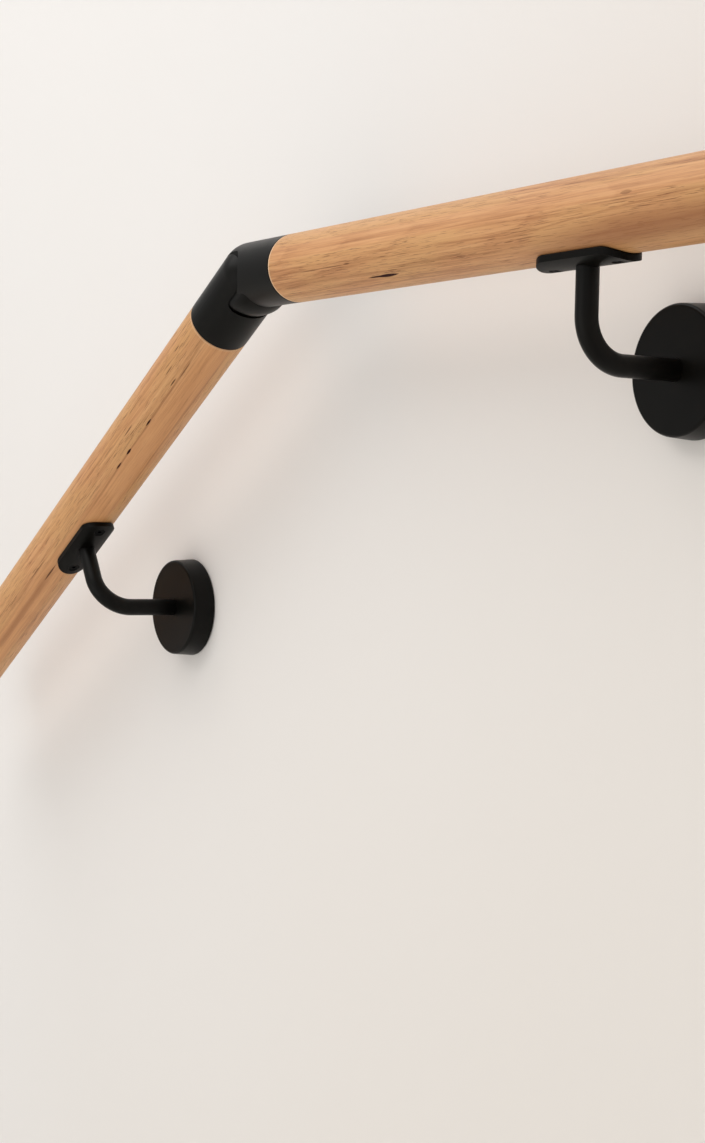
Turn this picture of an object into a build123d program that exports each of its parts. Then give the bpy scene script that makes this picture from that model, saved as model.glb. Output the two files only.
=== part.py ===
from build123d import *
from math import cos, radians, sin, sqrt
import os

# A round wooden stair handrail that turns from level to sloping at an adjustable
# black elbow. Two black wall brackets carry it: a saddle under the rail, a bent rod,
# and a deep round cover over the plate that is screwed to the wall.
#
# Millimetres, +Z up. X runs along the level rail and Y points into the wall.
# The origin is on the wall, at the middle of the level rail's bracket.

# Rails
rail_diameter = 42.0
slope = 32.3                  # fall of the sloping rail, in degrees
level_run = 560.0             # elbow pivot to the end of the level rail
sloping_run = 600.0           # elbow pivot to the end of the sloping rail
rail_end_chamfer = 1.5
rail_joint_chamfer = 0.6      # where the timber meets the elbow

# Where the rails stand
axis_to_wall = 74.0
axis_above_arm = 72.5         # rail centre line to the arm's centre line
level_bracket_run = 334.5     # elbow pivot to each bracket
sloping_bracket_run = 298.0

# Elbow
sleeve_length = 52.0          # pivot to the timber
sleeve_chamfer = 0.4
tongue_width = 32.0
side_gap = 0.4                # tongue to each cheek
nose_gap = 0.4                # round the tongue's ball end
cheek_gap = 1.4               # round the rounded ends of the cheeks
cheek_set_back = 2.0          # how far those ends stand back from the pivot
chin_radius = 25.8            # the tongue's fuller underside
chin_rounding = 6.0           # along the sides of that underside
chin_start = 45.0             # degrees below the level rail where it begins
chin_end = 135.0              # and where it ends, inside the sloping sleeve
mouth_depth = 17.3            # pivot to the far edge of the opening underneath
mouth_corner = 5.0
pivot_diameter = 8.0
pivot_head_diameter = 12.0
pivot_head_height = 2.0
pivot_head_recess = 3.0       # from the top of the cheek down to the head's seat
pivot_tip = 2.8               # length held in the cheek on the room side
pivot_socket = 4.0            # across flats
pivot_socket_depth = 1.4

# Screws that join the elbow to the timber
join_diameter = 8.0
join_in_sleeve = 22.0
join_in_rail = 38.0
join_chamfer = 0.8

# Bracket rod and saddle
rod_diameter = 12.0
rod_bend = 24.0               # radius of its centre line
saddle_length = 68.0
saddle_width = 25.0
saddle_thickness = 3.8
saddle_corner = 12.0
saddle_edge = 0.8
wood_screw_spacing = 50.0
wood_screw_diameter = 4.0
wood_screw_head = 9.0
wood_screw_length = 18.0
stem_screw_diameter = 6.0
stem_screw_head = 10.0
stem_screw_length = 18.0

# Bracket foot
plate_thickness = 6.0
boss_diameter = 22.0
boss_height = 4.0
wall_hole_diameter = 5.5
wall_hole_head = 10.5
wall_hole_circle = 46.0
wall_hole_count = 3
foot_screw_diameter = 6.0
foot_screw_head = 11.0
foot_screw_length = 22.0
cover_diameter = 71.0
cover_depth = 15.5
cover_wall = 1.5
cover_draft = 1.0             # how much smaller in radius the front is
cover_edge = 2.0

# Clearances
screw_gap = 0.05              # radial, round screws and pins
curve_gap = 0.15              # between curved faces that seat
cover_gap = 0.2               # cover to plate and to rod, radial
drive_diameter = 3.0          # socket in the small screws
drive_depth = 1.6
screw_head_below = 0.5        # heads sunk under the face
hole_end_gap = 1.0            # left beyond a screw's tip

rail_radius = rail_diameter / 2
fall = radians(slope)
pivot = Vector(-level_bracket_run, -axis_to_wall, axis_above_arm)
to_room = Vector(0, -1, 0)
level_uphill = Vector(1, 0, 0)
sloping_uphill = Vector(cos(fall), 0, sin(fall))

# The cheeks are what the tongue's slot leaves of the round section
cheek_inside = tongue_width / 2 + side_gap
cheek_radius = sqrt(rail_radius**2 - cheek_inside**2)
pivot_axis = Plane(origin=pivot, x_dir=level_uphill, z_dir=to_room)
pivot_seat = rail_radius - pivot_head_recess
saddle_inside = rail_radius + curve_gap
saddle_outside = saddle_inside + saddle_thickness


def upward(uphill):
    """Square to a rail, in the upright plane through it."""
    return Vector(-uphill.Z, 0, uphill.X)


def across(away, distance):
    """Plane square to a rail, at a distance from the pivot."""
    return Plane(origin=pivot + away * distance, x_dir=to_room, z_dir=away)


def beside(away, offset=0.0):
    """Upright plane along a rail, seen from the room."""
    return Plane(origin=pivot + to_room * offset, x_dir=away, z_dir=to_room)


def bracket_foot(uphill, run, height=0.0, z_dir=to_room):
    """Plane at a height above a bracket's place on the wall, with x along the rail."""
    foot = pivot + uphill * run - upward(uphill) * axis_above_arm - to_room * axis_to_wall
    return Plane(origin=foot + to_room * height, x_dir=uphill, z_dir=z_dir)


def under_rail(uphill, run, distance, z_dir):
    """Plane under a rail at a bracket, with x along the rail."""
    return Plane(origin=pivot + uphill * run - upward(uphill) * distance, x_dir=uphill, z_dir=z_dir)


def finish(part, name):
    part.label = name
    export_step(part, f"parts/{name}.step")


def countersunk_screw(diameter, head, length):
    """A countersunk screw that points down, the flat of its head at the origin."""
    with BuildPart() as screw:
        with BuildSketch():
            Circle(head / 2 - screw_head_below - screw_gap)
        extrude(amount=-(head - diameter) / 2 + screw_head_below, taper=45)
        with BuildSketch():
            Circle(diameter / 2)
        extrude(amount=-length)
        with BuildSketch():
            RegularPolygon(drive_diameter / 2, 6)
        extrude(amount=-drive_depth, mode=Mode.SUBTRACT)
    return screw.part


def make_screws(name, places, diameter, head, length):
    with BuildPart() as screws:
        with Locations(*places):
            add(countersunk_screw(diameter, head, length))
    finish(screws.part, name)


os.makedirs("parts", exist_ok=True)


# Rails
def make_rail(name, uphill, away_sign, run, bracket_run):
    away = uphill * away_sign
    with BuildPart() as rail:
        with BuildSketch(across(away, sleeve_length)):
            Circle(rail_radius)
        extrude(amount=run - sleeve_length)
        ends = rail.edges().filter_by(GeomType.CIRCLE).sort_by(lambda e: (e.center() - pivot).length)
        chamfer(ends[0], rail_joint_chamfer)
        chamfer(ends[-1], rail_end_chamfer)
        with Locations(across(away * -1, -sleeve_length)):
            Hole(join_diameter / 2 + screw_gap, depth=join_in_rail)
        seat = under_rail(uphill, bracket_run * away_sign, rail_radius, upward(uphill) * -1)
        with Locations(seat):
            with GridLocations(wood_screw_spacing, 1, 2, 1):
                Hole(wood_screw_diameter / 2 + screw_gap, depth=wood_screw_length + hole_end_gap)
    finish(rail.part, name)


make_rail("level_rail", level_uphill, 1, level_run, level_bracket_run)
make_rail("sloping_rail", sloping_uphill, -1, sloping_run, sloping_bracket_run)


# Elbow, the half on the level rail: a ball-ended tongue with a fuller chin underneath
level_side = beside(level_uphill)


def make_drum(radius, half_width, rounding=0.0):
    """A crowned drum round the pivot, its sides rounded over if asked."""
    with BuildPart() as drum:
        with BuildSketch(Plane(origin=pivot, x_dir=to_room, z_dir=level_uphill)):
            Circle(radius)
            Rectangle(2 * half_width, radius, align=(Align.CENTER, Align.MIN), mode=Mode.INTERSECT)
            if rounding:
                fillet(vertices().group_by(Axis.Y)[-1], rounding)
        revolve(axis=Axis(pivot, to_room))
    return drum.part


with BuildPart() as cheek_room:
    with BuildSketch(beside(level_uphill, tongue_width / 2)):
        Circle(cheek_radius + cheek_gap)
        Rectangle(2 * rail_diameter, 2 * rail_diameter, align=(Align.MAX, Align.CENTER))
    extrude(amount=rail_radius)
    mirror(about=level_side)

with BuildPart() as elbow_tongue_half:
    add(make_drum(chin_radius, tongue_width / 2, chin_rounding))
    with BuildSketch(level_side):
        with BuildLine():
            chin = CenterArc((0, 0), 2 * rail_radius, -chin_end, chin_end - chin_start)
            Polyline(chin @ 1, (0, 0), chin @ 0)
        make_face()
    extrude(amount=tongue_width / 2, both=True, mode=Mode.INTERSECT)
    with BuildSketch(across(level_uphill, 0)):
        Circle(rail_radius)
    extrude(amount=sleeve_length)
    with Locations(pivot):
        Sphere(rail_radius)
    add(cheek_room.part, mode=Mode.SUBTRACT)
    chamfer(elbow_tongue_half.faces().sort_by(Axis.X)[-1].edges(), sleeve_chamfer)
    with Locations(pivot_axis):
        Hole(pivot_diameter / 2 + screw_gap)
    with Locations(across(level_uphill, sleeve_length)):
        Hole(join_diameter / 2 + screw_gap, depth=join_in_sleeve)
finish(elbow_tongue_half.part, "elbow_tongue_half")


# Elbow, the half on the sloping rail: a ball-ended bar, slotted to leave two cheeks
sloping_away = sloping_uphill * -1
sloping_side = beside(sloping_away)
sloping_under = Plane(origin=pivot, x_dir=sloping_away, z_dir=upward(sloping_uphill) * -1)
with BuildPart() as chin_room:
    add(make_drum(chin_radius + nose_gap, cheek_inside, chin_rounding))
    with BuildSketch(sloping_under):
        Rectangle(2 * rail_diameter, 2 * cheek_inside)
    extrude(amount=rail_diameter, mode=Mode.INTERSECT)

with BuildPart() as elbow_fork_half:
    cheek_end = across(sloping_away, cheek_set_back)
    with BuildSketch(cheek_end):
        Circle(rail_radius)
    extrude(amount=sleeve_length - cheek_set_back)
    with Locations(cheek_end):
        Sphere(rail_radius)
    # slot for the tongue, hollowed so that the ball can turn in it
    with BuildSketch(sloping_side):
        Rectangle(rail_diameter, 2 * rail_diameter, align=(Align.MAX, Align.CENTER))
    extrude(amount=cheek_inside, both=True, mode=Mode.SUBTRACT)
    add(make_drum(rail_radius + nose_gap, cheek_inside), mode=Mode.SUBTRACT)
    add(chin_room.part, mode=Mode.SUBTRACT)
    # mouth underneath, where the level sleeve comes in as the fall gets steeper
    with BuildSketch(sloping_under):
        with Locations((mouth_depth, 0)):
            RectangleRounded(
                2 * rail_diameter, 2 * cheek_inside, mouth_corner, align=(Align.MAX, Align.CENTER)
            )
    extrude(amount=rail_diameter, mode=Mode.SUBTRACT)
    far_end = elbow_fork_half.faces().sort_by(Axis(pivot, sloping_away))[-1]
    chamfer(far_end.edges(), sleeve_chamfer)
    with BuildSketch(pivot_axis.offset(-rail_radius)):
        Circle(pivot_diameter / 2 + screw_gap)
    extrude(amount=rail_radius + cheek_inside + pivot_tip + screw_gap, mode=Mode.SUBTRACT)
    with BuildSketch(pivot_axis.offset(-pivot_seat)):
        Circle(pivot_head_diameter / 2 + curve_gap)
    extrude(amount=-rail_radius, mode=Mode.SUBTRACT)
    with Locations(across(sloping_away, sleeve_length)):
        Hole(join_diameter / 2 + screw_gap, depth=join_in_sleeve)
finish(elbow_fork_half.part, "elbow_fork_half")


# Elbow pivot: a low-headed screw put in from the wall side, so nothing shows in the room
with BuildPart() as pivot_screw:
    with BuildSketch(pivot_axis.offset(-pivot_seat)):
        Circle(pivot_diameter / 2)
    extrude(amount=pivot_seat + cheek_inside + pivot_tip)
    with BuildSketch(pivot_axis.offset(-pivot_seat)):
        Circle(pivot_head_diameter / 2)
    extrude(amount=-pivot_head_height)
    head_top = pivot_screw.faces().sort_by(Axis.Y)[-1]
    chamfer(head_top.edges(), 0.3)
    with BuildSketch(head_top):
        RegularPolygon(pivot_socket / 2, 6, major_radius=False)
    extrude(amount=-pivot_socket_depth, mode=Mode.SUBTRACT)
finish(pivot_screw.part, "pivot_screw")


# Screws that join each half of the elbow to its rail
def make_join_screw(name, away):
    with BuildPart() as join_screw:
        with BuildSketch(across(away, sleeve_length - join_in_sleeve + hole_end_gap)):
            Circle(join_diameter / 2)
        extrude(amount=join_in_sleeve + join_in_rail - 2 * hole_end_gap)
        chamfer(join_screw.edges().filter_by(GeomType.CIRCLE), join_chamfer)
    finish(join_screw.part, name)


make_join_screw("level_join_screw", level_uphill)
make_join_screw("sloping_join_screw", sloping_away)


# Wall brackets
def cover_inside(height):
    """Inner radius of the cover at a height above the wall."""
    return cover_diameter / 2 - cover_wall - cover_draft * height / cover_depth


def make_bracket(rail_name, uphill, run):
    up = upward(uphill)
    foot = bracket_foot(uphill, run)
    rail_axis = under_rail(uphill, run, 0, up * -1)
    stem_seat = under_rail(uphill, run, saddle_inside, up)

    # Saddle: a rolled plate that hugs the underside of the rail
    with BuildPart() as saddle:
        with BuildSketch(Plane(origin=rail_axis.origin, x_dir=to_room, z_dir=uphill)):
            Circle(saddle_outside)
            Circle(saddle_inside, mode=Mode.SUBTRACT)
        extrude(amount=saddle_length / 2, both=True)
        with BuildSketch(rail_axis):
            RectangleRounded(saddle_length, saddle_width, saddle_corner)
        extrude(amount=saddle_outside, mode=Mode.INTERSECT)
        underside = saddle.faces().filter_by(GeomType.CYLINDER).sort_by(SortBy.AREA)[-1]
        fillet(underside.outer_wire().edges(), saddle_edge)
        with Locations(rail_axis.offset(saddle_outside)):
            with GridLocations(wood_screw_spacing, 1, 2, 1):
                CounterSinkHole(wood_screw_diameter / 2 + screw_gap, wood_screw_head / 2, counter_sink_angle=90)
        with Locations(stem_seat):
            CounterSinkHole(stem_screw_diameter / 2 + screw_gap, stem_screw_head / 2, counter_sink_angle=90)
    finish(saddle.part, f"{rail_name}_saddle")

    # Rod: out of the foot, round one bend and up to the saddle, its end coped to fit
    with BuildPart() as arm:
        with BuildLine(Plane(origin=foot.origin, x_dir=up, z_dir=uphill)) as route:
            FilletPolyline(
                (0, plate_thickness),
                (0, axis_to_wall),
                (axis_above_arm - rail_radius, axis_to_wall),
                radius=rod_bend,
            )
        with BuildSketch(foot.offset(plate_thickness)):
            Circle(rod_diameter / 2)
        sweep(path=route.wires()[0])
        with BuildSketch(Plane(origin=rail_axis.origin, x_dir=to_room, z_dir=uphill)):
            Circle(saddle_outside + curve_gap)
        extrude(amount=rod_diameter, both=True, mode=Mode.SUBTRACT)
        with Locations(stem_seat):
            Hole(stem_screw_diameter / 2 + screw_gap, depth=stem_screw_length + hole_end_gap)
        with Locations(bracket_foot(uphill, run, plate_thickness, to_room * -1)):
            Hole(foot_screw_diameter / 2 + screw_gap, depth=foot_screw_length - plate_thickness + hole_end_gap)
    finish(arm.part, f"{rail_name}_arm")

    # Plate: three countersunk holes for the wall, and a socket for the rod
    with BuildPart() as plate:
        with BuildSketch(foot):
            Circle(cover_inside(plate_thickness) - cover_gap)
        extrude(amount=plate_thickness)
        with BuildSketch(foot.offset(plate_thickness)):
            Circle(boss_diameter / 2)
            Circle(rod_diameter / 2 + screw_gap, mode=Mode.SUBTRACT)
        extrude(amount=boss_height)
        with Locations(foot.offset(plate_thickness)):
            with PolarLocations(wall_hole_circle / 2, wall_hole_count, start_angle=90):
                CounterSinkHole(wall_hole_diameter / 2, wall_hole_head / 2, counter_sink_angle=90)
        with Locations(bracket_foot(uphill, run, 0, to_room * -1)):
            CounterSinkHole(
                foot_screw_diameter / 2 + screw_gap, foot_screw_head / 2, plate_thickness, counter_sink_angle=90
            )
    finish(plate.part, f"{rail_name}_wall_plate")

    # Cover: a deep spun cap that slides down the rod over the plate
    front = cover_diameter / 2 - cover_draft
    with BuildPart() as cover:
        with BuildSketch(Plane(origin=foot.origin, x_dir=uphill, z_dir=up * -1)):
            with BuildLine():
                Polyline(
                    (rod_diameter / 2 + cover_gap, cover_depth),
                    (front, cover_depth),
                    (cover_diameter / 2, 0),
                    (cover_inside(0), 0),
                    (cover_inside(cover_depth - cover_wall), cover_depth - cover_wall),
                    (rod_diameter / 2 + cover_gap, cover_depth - cover_wall),
                    close=True,
                )
            make_face()
            fillet(vertices().group_by(Axis.Y)[-1].sort_by(Axis.X)[-1], cover_edge)
        revolve(axis=Axis(foot.origin, to_room))
    finish(cover.part, f"{rail_name}_wall_cover")

    # Screws: two into the timber, one down into the rod, one into its foot from behind
    seat = rail_axis.offset(saddle_outside - screw_head_below).location
    pair = [seat * Location((side * wood_screw_spacing / 2, 0, 0)) for side in (-1, 1)]
    make_screws(f"{rail_name}_wood_screws", pair, wood_screw_diameter, wood_screw_head, wood_screw_length)
    seat = under_rail(uphill, run, saddle_inside + screw_head_below, up)
    make_screws(f"{rail_name}_stem_screw", [seat], stem_screw_diameter, stem_screw_head, stem_screw_length)
    seat = bracket_foot(uphill, run, screw_head_below, to_room * -1)
    make_screws(f"{rail_name}_foot_screw", [seat], foot_screw_diameter, foot_screw_head, foot_screw_length)


make_bracket("level", level_uphill, level_bracket_run)
make_bracket("sloping", sloping_uphill, -sloping_bracket_run)
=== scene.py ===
import math

import bpy
from mathutils import Euler, Matrix, Vector

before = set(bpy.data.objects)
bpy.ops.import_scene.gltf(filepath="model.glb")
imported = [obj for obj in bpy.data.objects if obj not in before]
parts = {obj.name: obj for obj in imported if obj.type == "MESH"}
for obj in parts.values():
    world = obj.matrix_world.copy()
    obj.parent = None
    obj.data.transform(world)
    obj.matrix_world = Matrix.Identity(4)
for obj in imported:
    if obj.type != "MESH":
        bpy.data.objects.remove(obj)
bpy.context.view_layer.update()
print("frame loaded:", len(parts), "parts")


def plug(socket, value):
    if isinstance(value, Wire):
        value.tree.links.new(value.socket, socket)
    else:
        socket.default_value = value


# A value that runs through a tree of nodes, with arithmetic on it
class Wire:
    def __init__(self, tree, socket=None):
        self.tree = tree
        self.socket = socket

    def node(self, kind, values=None, output=0, **settings):
        made = self.tree.nodes.new(kind)
        for name, setting in settings.items():
            setattr(made, name, setting)
        for key, value in (values or {}).items():
            plug(made.inputs[key], value)
        return Wire(self.tree, made.outputs[output])

    def maths(self, operation, *values):
        return self.node("ShaderNodeMath", dict(enumerate(values)), operation=operation)

    def __add__(self, other):
        return self.maths("ADD", self, other)

    def __sub__(self, other):
        return self.maths("SUBTRACT", self, other)

    def __rsub__(self, other):
        return self.maths("SUBTRACT", other, self)

    def __mul__(self, other):
        return self.maths("MULTIPLY", self, other)

    def __truediv__(self, other):
        return self.maths("DIVIDE", self, other)

    def __abs__(self):
        return self.maths("ABSOLUTE", self)

    __radd__ = __add__
    __rmul__ = __mul__

    def split(self):   # along x, y and z
        made = self.tree.nodes.new("ShaderNodeSeparateXYZ")
        plug(made.inputs[0], self)
        return [Wire(self.tree, socket) for socket in made.outputs]

    def noise(self, scale, detail=2.0, roughness=0.5):   # one scale, or its parts along x, y and z
        if isinstance(scale, float):
            scale = (scale, scale, scale)
        stretched = self.node("ShaderNodeMapping", {"Vector": self, "Scale": scale})
        values = {"Vector": stretched, "Scale": 1.0, "Detail": detail, "Roughness": roughness}
        return self.node("ShaderNodeTexNoise", values, noise_dimensions="3D")

    def swing(self, share):   # noise about nought
        return (self - 0.5) * share

    def between(self, low, high):   # 0 below low, 1 above high, eased
        values = {"Value": self, "From Min": low, "From Max": high}
        return self.node("ShaderNodeMapRange", values, interpolation_type="SMOOTHSTEP")

    def fade(self, low, high):   # 1 below low, 0 above high
        return 1.0 - self.between(low, high)

    def blend(self, first, second):   # this value is how much of the second colour shows
        return self.node("ShaderNodeMix", {0: self, 6: first, 7: second}, output=2, data_type="RGBA")

    def ramp(self, stops):
        made = self.tree.nodes.new("ShaderNodeValToRGB")
        elements = made.color_ramp.elements
        while len(elements) < len(stops):
            elements.new(1.0)
        for element, (position, colour) in zip(elements, stops):
            element.position = position
            element.color = colour
        plug(made.inputs["Fac"], self)
        return Wire(self.tree, made.outputs[0])

    def bump(self, strength, depth):   # depth in metres
        return self.node("ShaderNodeBump", {"Strength": strength, "Distance": depth, "Height": self})


def newFinish(name):
    finish = bpy.data.materials.new(name)
    finish.use_nodes = True
    finish.node_tree.nodes.clear()
    place = Wire(finish.node_tree).node("ShaderNodeTexCoord", output="Object")
    return finish, place


def endTree(kind, surface):
    plug(surface.tree.nodes.new(kind).inputs["Surface"], surface)


# Timber: a long straight grain, fine dark pores and a few gum marks. Lengths in millimetres
timber = {
    "pale": (0.75, 0.41, 0.19, 1.0),
    "tan": (0.61, 0.295, 0.12, 1.0),
    "brown": (0.37, 0.145, 0.048, 1.0),
    "pore": (0.17, 0.06, 0.019, 1.0),
    # rim: the colour of the painted highlight on the arris next to the elbow
    "rim": (0.86, 0.62, 0.40, 1.0),
    "honey": (0.64, 0.355, 0.135, 1.0),
    "orange": (0.68, 0.33, 0.13, 1.0),
    "gum": (0.027, 0.0018, 0.0002, 1.0),
    "railRadius": 21.0,
    "ringSpacing": 5.5,
    "ringWander": 16.0,
    "edgeWander": 9.0,
    "faceEdges": (1.0, 1.5),          # half widths of the smooth face's soft edges
    "arris": (53.2, 53.9),            # where the painted highlight on the arris ends, from the elbow's pivot
    "lateWoodGrows": (0.35, 0.92),    # shares of a ring
    "lateWoodEnds": (0.93, 1.0),
    "middleShade": 0.55,
    "lateWoodShade": 0.1,
    "shadeStops": (0.12, 0.5, 0.85),
    "poreStep": (0.585, 0.65),
    "poreStrength": 0.85,
    "honeyStep": (0.35, 0.6),
    "honeyStrength": 0.5,
    "bandLength": (0.4, 1.0),         # where bands fade out, as shares of their half sizes
    "bandWidth": (0.1, 1.0),
    "markStep": (0.0, 0.35),
    "roughness": 0.48,
    "shine": 0.42,
    "lacquer": 0.06,
    "lacquerRoughness": 0.35,
    "bumpStrength": 0.6,
    "grainDepth": 0.00012,            # metres
}

# Cycles per millimetre along the rail, across it and up, then detail and roughness
timberNoises = {
    "wander": ((0.0045, 0.03, 0.03), 3.0),
    "streaks": ((0.005, 0.22, 0.22), 3.0, 0.6),
    "fibres": ((0.02, 1.3, 1.3), 3.0, 0.65),
    "cloud": ((0.012, 0.045, 0.045), 2.0),
    "threads": ((0.011, 0.75, 0.75), 4.0, 0.7),
    "pores": ((0.07, 2.4, 2.4), 2.0, 0.5),
}
shadeShares = {"streaks": 0.8, "fibres": 0.8, "threads": 1.0, "cloud": 0.3}
pivotPlace = (-0.3345, -0.074, 0.0725)

# A mark is: along the rail from the pivot, around it, half length, half width, strength.
# A band is the same, and how far it drifts round the rail for each millimetre along
levelRail = {
    "finish": "levelTimber",
    "slope": 0.0,
    "pith": (64.0, -30.0),     # across and up from the middle of the rail
    "lean": (0.05, -0.11),
    "face": (2.0, 12.0),       # the smooth face, around the rail
    "redness": 0.15,
    # arris: how strong the painted highlight on the arris is
    "arris": 0.7,
    "marks": [
        (173.5, -18.5, 12.5, 1.3, 1.0),
        (164.0, -18.3, 11.5, 0.75, 0.95),
        (122.0, -7.6, 17.0, 0.45, 0.45),
        (100.0, -7.8, 13.0, 0.4, 0.5),
        (181.5, -15.4, 6.0, 0.4, 0.4),
        (139.7, -7.4, 4.0, 0.5, 0.6),
        (387.0, 3.9, 5.0, 1.3, 0.35),
    ],
    "bands": [
        (405.0, -13.2, 80.0, 1.7, 0.75, 0.03),
        (370.0, -3.8, 110.0, 0.8, 0.5, 0.05),
        # painted shade: this broad band darkens the rail's lower side towards its near end
        (460.0, -13.0, 190.0, 13.0, 0.95, 0.03),
        (190.0, -15.4, 150.0, 0.6, 0.55, -0.002),
        (190.0, -24.5, 140.0, 1.1, 0.6, 0.0),
        (100.0, -21.4, 60.0, 0.7, 0.65, 0.044),
        (225.0, -22.0, 60.0, 0.7, 0.65, -0.02),
        (229.0, -13.2, 65.0, 0.65, 0.6, 0.0),
        (88.0, -13.1, 50.0, 0.6, 0.55, -0.007),
        (258.0, -5.4, 40.0, 0.9, 0.6, 0.0),
        (120.0, -27.5, 75.0, 0.7, 0.5, 0.0),
    ],
}
slopingRail = {
    "finish": "slopingTimber",
    "slope": math.radians(32.3),
    "pith": (-40.0, -78.0),
    "lean": (0.035, 0.02),
    "face": (-33.5, -17.2),
    "redness": 0.45,
    # arris: how strong the painted highlight on the arris is
    "arris": 0.25,
    "marks": [
        (-145.5, -16.9, 5.0, 0.75, 1.0),
        (-181.0, -17.5, 4.5, 0.95, 1.0),
        (-199.0, -17.6, 5.0, 0.75, 0.9),
        (-166.5, -8.6, 8.0, 0.45, 0.75),
        (-100.5, -14.8, 5.0, 0.55, 0.8),
        (-78.0, -2.8, 4.5, 0.4, 0.7),
        (-85.0, -16.6, 10.0, 0.4, 0.55),
        (-96.5, -7.6, 6.0, 0.4, 0.6),
        (-342.0, -22.0, 13.0, 0.65, 0.8),
        (-348.0, -13.1, 17.0, 0.4, 0.55),
        (-198.0, -5.3, 10.0, 0.4, 0.4),
    ],
    "bands": [
        (-160.0, -17.2, 135.0, 1.0, 0.75, 0.02),
        (-140.0, -33.5, 115.0, 1.1, 0.65, 0.0),
        (-405.0, -23.0, 95.0, 4.2, 0.85, 0.0),
    ],
}


def makeTimber(rail):
    finish, place = newFinish(rail["finish"])
    grain = place.node(
        "ShaderNodeMapping",
        {
            "Vector": place,
            "Location": pivotPlace,
            "Rotation": (0, -rail["slope"], 0),
            "Scale": (0.001, 0.001, 0.001),   # metres to millimetres
        },
        vector_type="TEXTURE",
    )
    along, across, up = grain.split()
    around = place.maths("ARCTAN2", up, across * -1.0) * timber["railRadius"]
    noises = {name: grain.noise(*size) for name, size in timberNoises.items()}
    fibres, cloud, threads = noises["fibres"], noises["cloud"], noises["threads"]
    wander = noises["wander"] - 0.5

    # growth rings round a leaning pith that lies outside the rail
    sideways = across - rail["pith"][0] + along * rail["lean"][0]
    upright = up - rail["pith"][1] + along * rail["lean"][1]
    fromPith = place.maths("SQRT", sideways * sideways + upright * upright)
    ring = place.maths("FRACT", (fromPith + wander * timber["ringWander"]) / timber["ringSpacing"])
    lateWood = ring.between(*timber["lateWoodGrows"]) * ring.fade(*timber["lateWoodEnds"])

    shade = timber["middleShade"] - lateWood * timber["lateWoodShade"]
    for name, share in shadeShares.items():
        shade = shade + noises[name].swing(share)
    colour = shade.ramp(list(zip(timber["shadeStops"], (timber["brown"], timber["tan"], timber["pale"]))))

    # one smoother, redder face, and yellower clouds and more pores elsewhere
    edge = around + wander * timber["edgeWander"]
    lowSide, highSide = rail["face"]
    lowSoft, highSoft = timber["faceEdges"]
    smooth = edge.between(lowSide - lowSoft, lowSide + lowSoft) * edge.fade(highSide - highSoft, highSide + highSoft)
    cloudy = (1.0 - smooth) * cloud.between(*timber["honeyStep"]) * timber["honeyStrength"]
    colour = cloudy.blend(colour, timber["honey"])
    colour = (smooth * rail["redness"]).blend(colour, timber["orange"])
    pores = noises["pores"].between(*timber["poreStep"]) * (0.3 + lateWood * 0.4 + cloud * 0.5)
    pores = pores * (1.0 - smooth * 0.7)
    colour = (pores * timber["poreStrength"]).blend(colour, timber["pore"])

    # dark grain streaks, and painted shade where a band is broad and low on the rail
    for alongAt, aroundAt, halfLength, halfWidth, strength, drift in rail["bands"]:
        lengthways = abs((along - alongAt) / halfLength)
        widthways = abs((edge - aroundAt - (along - alongAt) * drift) / halfWidth)
        band = lengthways.fade(*timber["bandLength"]) * widthways.fade(*timber["bandWidth"])
        colour = (band * (0.4 + threads) * strength).blend(colour, timber["brown"])

    marked = None
    for alongAt, aroundAt, halfLength, halfWidth, strength in rail["marks"]:
        lengthways = (along - alongAt) / halfLength
        widthways = abs((around - aroundAt) / halfWidth)
        lens = 1.0 - lengthways * lengthways - widthways + fibres.swing(0.5)
        lens = lens.between(*timber["markStep"]) * strength
        marked = lens if marked is None else place.maths("MAXIMUM", marked, lens)
    colour = marked.blend(colour, timber["gum"])

    # painted highlight: the arris next to the elbow is painted paler, as though it catches the light
    arris = abs(along).fade(*timber["arris"])
    colour = (arris * rail["arris"]).blend(colour, timber["rim"])

    height = fibres * 0.5 - pores - marked * 1.5
    values = {
        "Base Color": colour,
        "Roughness": timber["roughness"] + fibres.swing(0.25) + pores * 0.2 + marked * 0.5,
        "Specular IOR Level": timber["shine"],
        "Coat Weight": (1.0 - marked) * timber["lacquer"],
        "Coat Roughness": timber["lacquerRoughness"],
        "Normal": height.bump(timber["bumpStrength"], timber["grainDepth"]),
    }
    endTree("ShaderNodeOutputMaterial", place.node("ShaderNodeBsdfPrincipled", values))
    return finish


levelTimber = makeTimber(levelRail)
slopingTimber = makeTimber(slopingRail)
print("timber finishes made")


# Satin black powder coat with a fine orange peel
blackCoat = {
    "black": (0.0022, 0.0020, 0.0015, 1.0),
    "dusty": (0.0055, 0.0047, 0.0034, 1.0),
    "shine": 0.13,
    "roughness": 0.37,
    "peelDepth": 0.00003,
}

# The saddles are duller
saddleCoat = {**blackCoat, "shine": 0.075, "roughness": 0.42}

# The wood screws' heads are duller, and darker still as painted shade for the recesses they sit in
screwShadedCoat = {
    "black": (0.0012, 0.0012, 0.0011, 1.0),
    "dusty": (0.0025, 0.0024, 0.0022, 1.0),
    "shine": 0.06,
    "roughness": 0.6,
    "peelDepth": 0.00002,
}

# Cycles per metre, detail and roughness
coatNoises = {
    "peel": (1100.0, 2.0, 0.55),
    "handling": (38.0, 4.0, 0.6),
    "specks": (2600.0, 1.0),
}


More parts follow.
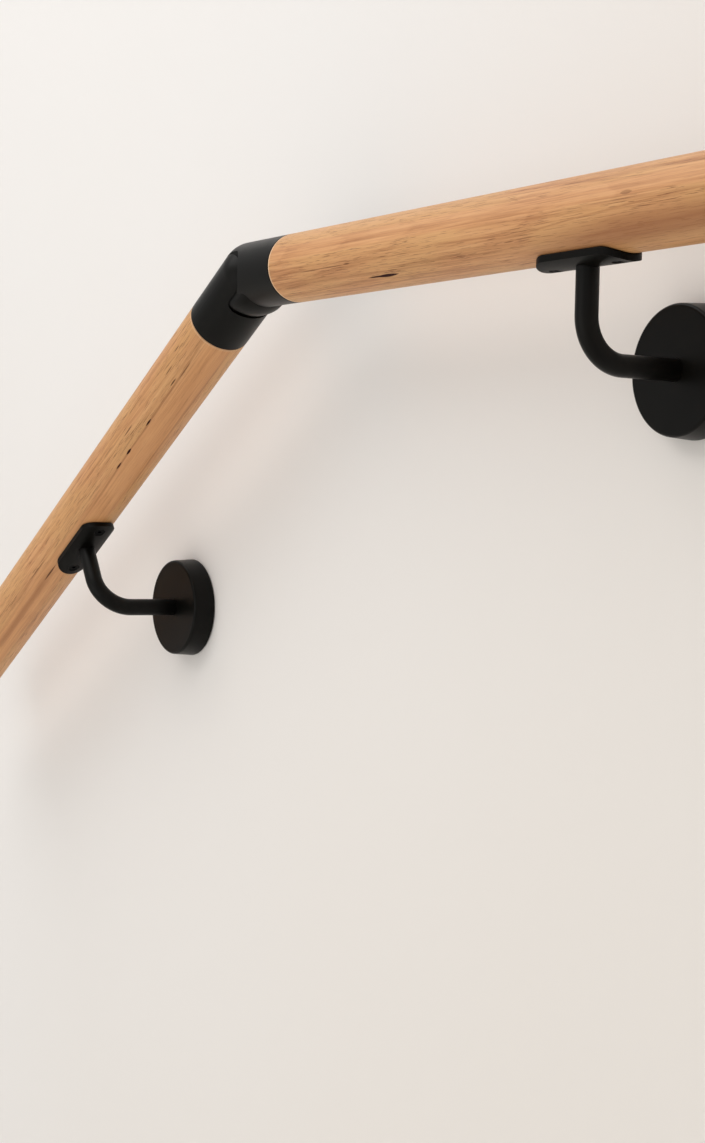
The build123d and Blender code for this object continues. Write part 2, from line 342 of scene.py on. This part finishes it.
def makeBlack(name, look):
    finish, place = newFinish(name)
    peel = place.noise(*coatNoises["peel"])
    handling = place.noise(*coatNoises["handling"])
    specks = place.noise(*coatNoises["specks"]).between(0.66, 0.74)
    dust = handling.between(0.4, 0.75) * 0.6 + specks * 0.3
    values = {
        "Base Color": dust.blend(look["black"], look["dusty"]),
        "Roughness": look["roughness"] + handling.swing(0.16) + peel.swing(0.06),
        "Specular IOR Level": look["shine"],
        "Normal": peel.bump(0.5, look["peelDepth"]),
    }
    endTree("ShaderNodeOutputMaterial", place.node("ShaderNodeBsdfPrincipled", values))
    return finish


# Bright zinc plate on what is hidden
zinc = {
    "bright": (0.64, 0.64, 0.62, 1.0),
    "dull": (0.44, 0.45, 0.45, 1.0),
    "roughness": 0.34,
    "spangle": 420.0,
    "bloom": (90.0, 4.0, 0.6),
    "fine": (1800.0, 2.0),
    "bumpStrength": 0.3,
    "fineDepth": 0.00002,
}


def makeZinc():
    finish, place = newFinish("zincPlate")
    spangle = place.node("ShaderNodeTexVoronoi", {"Vector": place, "Scale": zinc["spangle"]}, feature="F1")
    bloom = place.noise(*zinc["bloom"])
    fine = place.noise(*zinc["fine"])
    dullness = bloom.between(0.35, 0.7) * 0.7 + spangle * 0.3
    values = {
        "Base Color": dullness.blend(zinc["bright"], zinc["dull"]),
        "Metallic": 1.0,
        "Roughness": zinc["roughness"] + bloom.swing(0.2) + fine.swing(0.1),
        "Normal": fine.bump(zinc["bumpStrength"], zinc["fineDepth"]),
    }
    endTree("ShaderNodeOutputMaterial", place.node("ShaderNodeBsdfPrincipled", values))
    return finish


satinBlackCoat = makeBlack("satinBlackCoat", blackCoat)
dullBlackCoat = makeBlack("dullBlackCoat", saddleCoat)
# painted shade: a darker copy of the black coat for the screw heads
dullBlackScrew = makeBlack("dullBlackScrew", screwShadedCoat)
zincPlate = makeZinc()

for name, part in parts.items():
    if name == "level_rail":
        finish = levelTimber
    elif name == "sloping_rail":
        finish = slopingTimber
    elif name.endswith("wood_screws"):
        finish = dullBlackScrew
    elif name.endswith("saddle"):
        finish = dullBlackCoat
    elif "screw" in name or name.endswith("wall_plate"):
        finish = zincPlate
    else:
        finish = satinBlackCoat
    part.data.materials.clear()
    part.data.materials.append(finish)
print("finishes on", len(parts), "parts")


# The wall shows only from the room, and rays shorter than shortRay metres pass through it,
# so that light reaches the edges of what stands flat on it
wallLook = {
    "size": (9.0, 5.0),
    "place": (0, 0.0008, 0.5),    # just behind the wall plates
    "turn": (math.pi / 2, 0, 0),
    "pale": (0.865, 0.85, 0.838, 1.0),
    # warm: darker and warmer, for painted shade low down and for random patches
    "warmShadeAndPatch": (0.822, 0.778, 0.73, 1.0),
    "shortRay": (0.002, 0.004),
}
floorLook = {
    "size": (9.0, 9.0),
    "place": (0, 0, -1.1),
    "turn": (0, 0, 0),
    "pale": (0.74, 0.725, 0.70, 1.0),
    "warmShadeAndPatch": (0.74, 0.725, 0.70, 1.0),
    "shortRay": None,
}
paint = {
    "patches": (1.3, 3.0),
    "patchStep": (0.25, 0.75),
    "patchShare": 0.25,
    "shadeMaskStep": (-0.7, 0.7),      # metres; painted shade, darker and warmer low down and towards the camera
    "shadeMaskShare": 0.75,
    "roughness": 0.9,
    "shine": 0.2,
}


def addPlane(name, look):
    bpy.ops.mesh.primitive_plane_add(size=1.0, location=(0, 0, 0))
    plane = bpy.context.object
    plane.name = name
    turned = Euler(look["turn"]).to_matrix().to_4x4()
    plane.data.transform(Matrix.Translation(look["place"]) @ turned @ Matrix.Diagonal((*look["size"], 1.0, 1.0)))
    plane.data.materials.append(plainPaint(name + "Paint", look))


def plainPaint(name, look):
    finish, place = newFinish(name)
    across, away, up = place.split()
    patches = place.noise(*paint["patches"]).between(*paint["patchStep"])
    # painted shade: darker and warmer towards the bottom and the camera side; the patches are random tone
    shadeMask = (across - up + away).between(*paint["shadeMaskStep"])
    shadeAndPatches = shadeMask * paint["shadeMaskShare"] + patches * paint["patchShare"]
    values = {
        "Base Color": shadeAndPatches.blend(look["pale"], look["warmShadeAndPatch"]),
        "Roughness": paint["roughness"],
        "Specular IOR Level": paint["shine"],
    }
    surface = place.node("ShaderNodeBsdfPrincipled", values)
    if look["shortRay"]:
        behind = place.node("ShaderNodeNewGeometry", output="Backfacing")
        near = place.node("ShaderNodeLightPath", output="Ray Length").fade(*look["shortRay"])
        clear = place.node("ShaderNodeBsdfTransparent")
        hidden = place.maths("MAXIMUM", behind, near)
        surface = place.node("ShaderNodeMixShader", {0: hidden, 1: surface, 2: clear})
    endTree("ShaderNodeOutputMaterial", surface)
    return finish


addPlane("wall", wallLook)
addPlane("floor", floorLook)
print("wall and floor made")


# Light: three soft lamps in a pale room
lamps = {
    "above": {"place": (-0.9, -1.6, 2.1), "aim": (-0.4, 0.0, 0.05), "size": (3.0, 2.4), "power": 47.0},
    "side": {"place": (1.9, -1.6, 0.5), "aim": (-0.2, 0.0, 0.0), "size": (1.6, 1.6), "power": 2.0},
    "front": {"place": (-0.5, -2.5, -0.5), "aim": (-0.7, 0.0, -0.2), "size": (2.4, 1.8), "power": 13.0},
}
lampColour = (1.0, 0.985, 0.965)
roomLight = {
    "glow": (*lampColour, 1.0),
    "strength": 0.51,
    "backdrop": (0.88, 0.865, 0.845, 1.0),   # what the camera sees past the wall and floor
}

for name, lamp in lamps.items():
    data = bpy.data.lights.new(name, "AREA")
    data.shape = "RECTANGLE"
    data.size, data.size_y = lamp["size"]
    data.energy = lamp["power"]
    data.color = lampColour
    made = bpy.data.objects.new(name, data)
    bpy.context.scene.collection.objects.link(made)
    made.location = lamp["place"]
    made.rotation_euler = (Vector(lamp["aim"]) - Vector(lamp["place"])).to_track_quat("-Z", "Y").to_euler()

world = bpy.data.worlds.new("room")
bpy.context.scene.world = world
world.use_nodes = True
world.node_tree.nodes.clear()
seen = Wire(world.node_tree).node("ShaderNodeLightPath", output="Is Camera Ray")
glow = seen.node("ShaderNodeBackground", {"Color": roomLight["glow"], "Strength": roomLight["strength"]})
backdrop = seen.node("ShaderNodeBackground", {"Color": roomLight["backdrop"]})
endTree("ShaderNodeOutputWorld", seen.node("ShaderNodeMixShader", {0: seen, 1: glow, 2: backdrop}))
bpy.context.scene.view_settings.view_transform = "Standard"
print("light made")


# Camera, low down beside the wall and looking along it
photoCamera = {
    "fromPivot": (1.148282, -0.653400, -0.155175),
    "turn": (1.4338410161, 0.8099768454, -0.7555288436),   # axis times angle, room to camera
    "lens": 65.417,
    "sensorWidth": 36.0,
    "clipStart": 0.01,
}
turn = Vector(photoCamera["turn"])
roomToCamera = Matrix.Rotation(turn.length, 3, turn.normalized())
right, down, ahead = roomToCamera[0], roomToCamera[1], roomToCamera[2]
cameraTurn = Matrix((right, -down, -ahead)).transposed().to_4x4()
cameraData = bpy.data.cameras.new("photoCamera")
cameraData.lens = photoCamera["lens"]
cameraData.sensor_width = photoCamera["sensorWidth"]
cameraData.clip_start = photoCamera["clipStart"]
camera = bpy.data.objects.new("photoCamera", cameraData)
bpy.context.scene.collection.objects.link(camera)
camera.matrix_world = Matrix.Translation(Vector(pivotPlace) + Vector(photoCamera["fromPivot"])) @ cameraTurn
bpy.context.scene.camera = camera
print("camera made")
